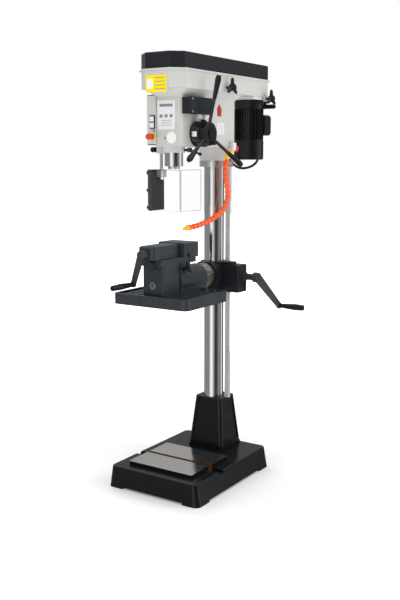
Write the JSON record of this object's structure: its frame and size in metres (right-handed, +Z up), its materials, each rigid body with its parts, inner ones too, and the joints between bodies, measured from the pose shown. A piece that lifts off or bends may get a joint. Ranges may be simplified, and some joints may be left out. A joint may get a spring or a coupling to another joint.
{
  "type": "drill press",
  "caption": "Floor-standing drill press with belt drive, feed handles, chuck guard, coolant hose and a tilting machine-vise table on a steel column.",
  "frame": {"origin": "on the floor at the column's axis", "axes": "+Z up along the column, the operator stands at -Y, +X is the operator's right"},
  "size_m": [0.51, 0.941, 1.641],
  "materials": {
    "base_grey": "satin",
    "column_steel": "polished",
    "head_grey": "satin",
    "cover_black": "gloss",
    "box_black": "satin",
    "panel_grey": "satin",
    "button_green": "gloss",
    "button_red": "gloss",
    "bright_steel": "machined",
    "dark_steel": "blackened",
    "cast_aluminium": "machined",
    "belt_rubber": "matte",
    "grip_black": "gloss",
    "motor_black": "satin",
    "cable_rubber": "matte",
    "gland_plastic": "satin",
    "guard_dark": "satin",
    "guard_clear": "clear",
    "chrome_parts": "polished",
    "valve_white": "satin",
    "valve_red": "gloss",
    "hose_orange": "satin",
    "hose_yellow": "satin",
    "table_slate": "satin",
    "crank_grey": "hammered",
    "spring_steel": "blued"
  },
  "bodies": {
    "frame": {"base": "base_grey", "pedestal": "base_grey", "base_bolts": "dark_steel", "column": "column_steel", "head_casting": "head_grey", "belt_case": "head_grey", "control_box": "box_black", "control_panel": "panel_grey", "switch_box": "box_black", "cable_glands": "gland_plastic", "pulley_bearings": "bright_steel", "spring_cap": "dark_steel", "return_spring": "spring_steel", "v_belt": "belt_rubber", "motor_cable": "cable_rubber", "coolant_valve": "valve_white", "coolant_hose": "hose_orange", "hose_ends": "hose_yellow"},
    "quill_body": {"quill": "bright_steel", "quill_bearings": "bright_steel"},
    "spindle_body": {"spindle": "bright_steel"},
    "spindle_pulley_body": {"spindle_pulley": "cast_aluminium"},
    "feed_body": {"feed_shaft": "bright_steel", "depth_drum": "grip_black", "feed_hub": "dark_steel", "feed_rods": "chrome_parts", "feed_grips": "grip_black"},
    "quill_lock_body": {"quill_lock": "chrome_parts"},
    "start_body": {"start_button": "button_green"},
    "stop_body": {"stop_button": "button_red"},
    "e_stop_body": {"e_stop_button": "button_red"},
    "motor_body": {"motor_plate": "dark_steel", "motor_frame": "motor_black", "fan_cowl": "motor_black", "terminal_box": "motor_black"},
    "rotor_body": {"motor_rotor": "bright_steel", "motor_pulley": "cast_aluminium"},
    "tension_body": {"tension_lever": "grip_black"},
    "front_knob_body": {"front_slide_knob": "grip_black"},
    "rear_knob_body": {"rear_slide_knob": "grip_black"},
    "cover_body": {"belt_cover": "cover_black"},
    "guard_rod_body": {"guard_rod": "chrome_parts"},
    "guard_body": {"guard_plate": "guard_dark", "guard_screen": "guard_clear"},
    "guard_knob_body": {"guard_knob": "grip_black"},
    "valve_knob_body": {"valve_knob": "valve_red"},
    "rack_body": {"rack": "bright_steel"},
    "bracket_body": {"table_bracket": "table_slate", "tilt_spigot": "bright_steel", "tilt_bolt": "dark_steel"},
    "pinion_body": {"lift_pinion": "bright_steel"},
    "crank_body": {"lift_crank": "crank_grey"},
    "crank_grip_body": {"lift_grip": "grip_black"},
    "column_lever_body": {"column_lever": "chrome_parts"},
    "table_body": {"table": "table_slate", "vise_body": "table_slate"},
    "slide_body": {"vise_slide": "table_slate"},
    "screw_body": {"vise_screw": "crank_grey"},
    "screw_grip_body": {"vise_grip": "grip_black"},
    "tilt_knob_body": {"tilt_knob": "grip_black"}
  },
  "joints": [
    {"name": "quill_feed", "type": "slide", "parent": "frame", "child": "quill_body", "axis": [0, 0, -1], "range_m": [0, 0.11], "stiffness_N_per_m": 260, "springref_m": -0.3},
    {"name": "feed_turn", "type": "hinge", "parent": "frame", "child": "feed_body", "pos_m": [0, -0.23, 1.356], "axis": [1, 0, 0], "range_deg": [0, 394.91]},
    {"name": "spindle_spin", "type": "hinge", "parent": "quill_body", "child": "spindle_body", "pos_m": [0, -0.28, 1.3], "axis": [0, 0, 1], "continuous": true},
    {"name": "pulley_spin", "type": "hinge", "parent": "frame", "child": "spindle_pulley_body", "pos_m": [0, -0.28, 1.57], "axis": [0, 0, 1], "continuous": true},
    {"name": "quill_lock_turn", "type": "hinge", "parent": "frame", "child": "quill_lock_body", "pos_m": [0.064, -0.27, 1.298], "axis": [1, 0, 0], "range_deg": [-45, 0]},
    {"name": "start_press", "type": "slide", "parent": "frame", "child": "start_body", "axis": [0, 1, 0], "range_m": [0, 0.003], "stiffness_N_per_m": 400},
    {"name": "stop_press", "type": "slide", "parent": "frame", "child": "stop_body", "axis": [0, 1, 0], "range_m": [0, 0.003], "stiffness_N_per_m": 400},
    {"name": "e_stop_press", "type": "slide", "parent": "frame", "child": "e_stop_body", "axis": [0, 1, 0], "range_m": [0, 0.004]},
    {"name": "motor_slide", "type": "slide", "parent": "frame", "child": "motor_body", "axis": [0, 1, 0], "range_m": [-0.012, 0]},
    {"name": "motor_spin", "type": "hinge", "parent": "motor_body", "child": "rotor_body", "pos_m": [0.03, 0.22, 1.4], "axis": [0, 0, 1], "continuous": true},
    {"name": "tension_turn", "type": "hinge", "parent": "motor_body", "child": "tension_body", "pos_m": [0.073, 0.277, 1.48], "axis": [0, 0, 1], "range_deg": [0, 45]},
    {"name": "front_slide_lock", "type": "hinge", "parent": "frame", "child": "front_knob_body", "pos_m": [0.11, -0.062, 1.532], "axis": [1, 0, 0], "range_deg": [0, 360]},
    {"name": "rear_slide_lock", "type": "hinge", "parent": "frame", "child": "rear_knob_body", "pos_m": [0.117, 0.235, 1.507], "axis": [1, 0, 0], "range_deg": [0, 360]},
    {"name": "cover_hinge", "type": "hinge", "parent": "frame", "child": "cover_body", "pos_m": [-0.106, 0, 1.586], "axis": [0, -1, 0], "range_deg": [0, 95]},
    {"name": "guard_height", "type": "slide", "parent": "frame", "child": "guard_rod_body", "axis": [0, 0, 1], "range_m": [-0.02, 0]},
    {"name": "guard_swing", "type": "hinge", "parent": "guard_rod_body", "child": "guard_body", "pos_m": [-0.057, -0.28, 1.2], "axis": [0, 0, 1], "range_deg": [-95, 0]},
    {"name": "guard_lock", "type": "hinge", "parent": "frame", "child": "guard_knob_body", "pos_m": [-0.09, -0.28, 1.3], "axis": [1, 0, 0], "range_deg": [0, 360]},
    {"name": "coolant_tap", "type": "hinge", "parent": "frame", "child": "valve_knob_body", "pos_m": [0.074, 0.038, 1.306], "axis": [0, 1, 0], "range_deg": [0, 90]},
    {"name": "table_swing", "type": "hinge", "parent": "frame", "child": "rack_body", "pos_m": [0, 0, 1.237], "axis": [0, 0, 1], "range_deg": [-180, 180]},
    {"name": "table_lift", "type": "slide", "parent": "rack_body", "child": "bracket_body", "axis": [0, 0, 1], "range_m": [-0.27, 0.025]},
    {"name": "lift_pinion_turn", "type": "hinge", "parent": "bracket_body", "child": "pinion_body", "pos_m": [0.0921, 0, 0.777], "axis": [0, 1, 0], "range_deg": [-1146.89, 107.1]},
    {"name": "lift_crank_turn", "type": "hinge", "parent": "bracket_body", "child": "crank_body", "pos_m": [0.15, 0.031, 0.8], "axis": [1, 0, 0], "range_deg": [-22922.77, 2127.02]},
    {"name": "lift_grip_spin", "type": "hinge", "parent": "crank_body", "child": "crank_grip_body", "pos_m": [0.24, 0.21628, 0.66038], "axis": [1, 0, 0], "continuous": true},
    {"name": "column_lock", "type": "hinge", "parent": "bracket_body", "child": "column_lever_body", "pos_m": [-0.084, 0, 0.8], "axis": [1, 0, 0], "range_deg": [-35, 35]},
    {"name": "table_tilt", "type": "hinge", "parent": "bracket_body", "child": "table_body", "pos_m": [0, -0.2, 0.808], "axis": [0, 1, 0], "range_deg": [-45, 45]},
    {"name": "vise_open", "type": "slide", "parent": "table_body", "child": "slide_body", "axis": [0, 1, 0], "range_m": [-0.08, 0]},
    {"name": "vise_screw_turn", "type": "hinge", "parent": "slide_body", "child": "screw_body", "pos_m": [0, -0.48, 0.927], "axis": [0, 1, 0], "range_deg": [-7205, 5]},
    {"name": "vise_grip_spin", "type": "hinge", "parent": "screw_body", "child": "screw_grip_body", "pos_m": [-0.036, -0.54, 0.819], "axis": [0, 1, 0], "continuous": true},
    {"name": "tilt_lock", "type": "hinge", "parent": "table_body", "child": "tilt_knob_body", "pos_m": [0.07, -0.296, 0.862], "axis": [1, 0, 0], "range_deg": [0, 360]}
  ],
  "couplings": [
    {"joint": "feed_turn", "follows": "quill_feed", "rad_per_m": 62.5},
    {"joint": "spindle_spin", "follows": "motor_spin", "ratio": 0.84},
    {"joint": "pulley_spin", "follows": "motor_spin", "ratio": 0.84},
    {"joint": "tension_turn", "follows": "motor_slide", "rad_per_m": -65},
    {"joint": "lift_pinion_turn", "follows": "table_lift", "rad_per_m": 74.072},
    {"joint": "lift_crank_turn", "follows": "table_lift", "rad_per_m": 1481.4},
    {"joint": "vise_screw_turn", "follows": "vise_open", "rad_per_m": 1570.8}
  ]
}
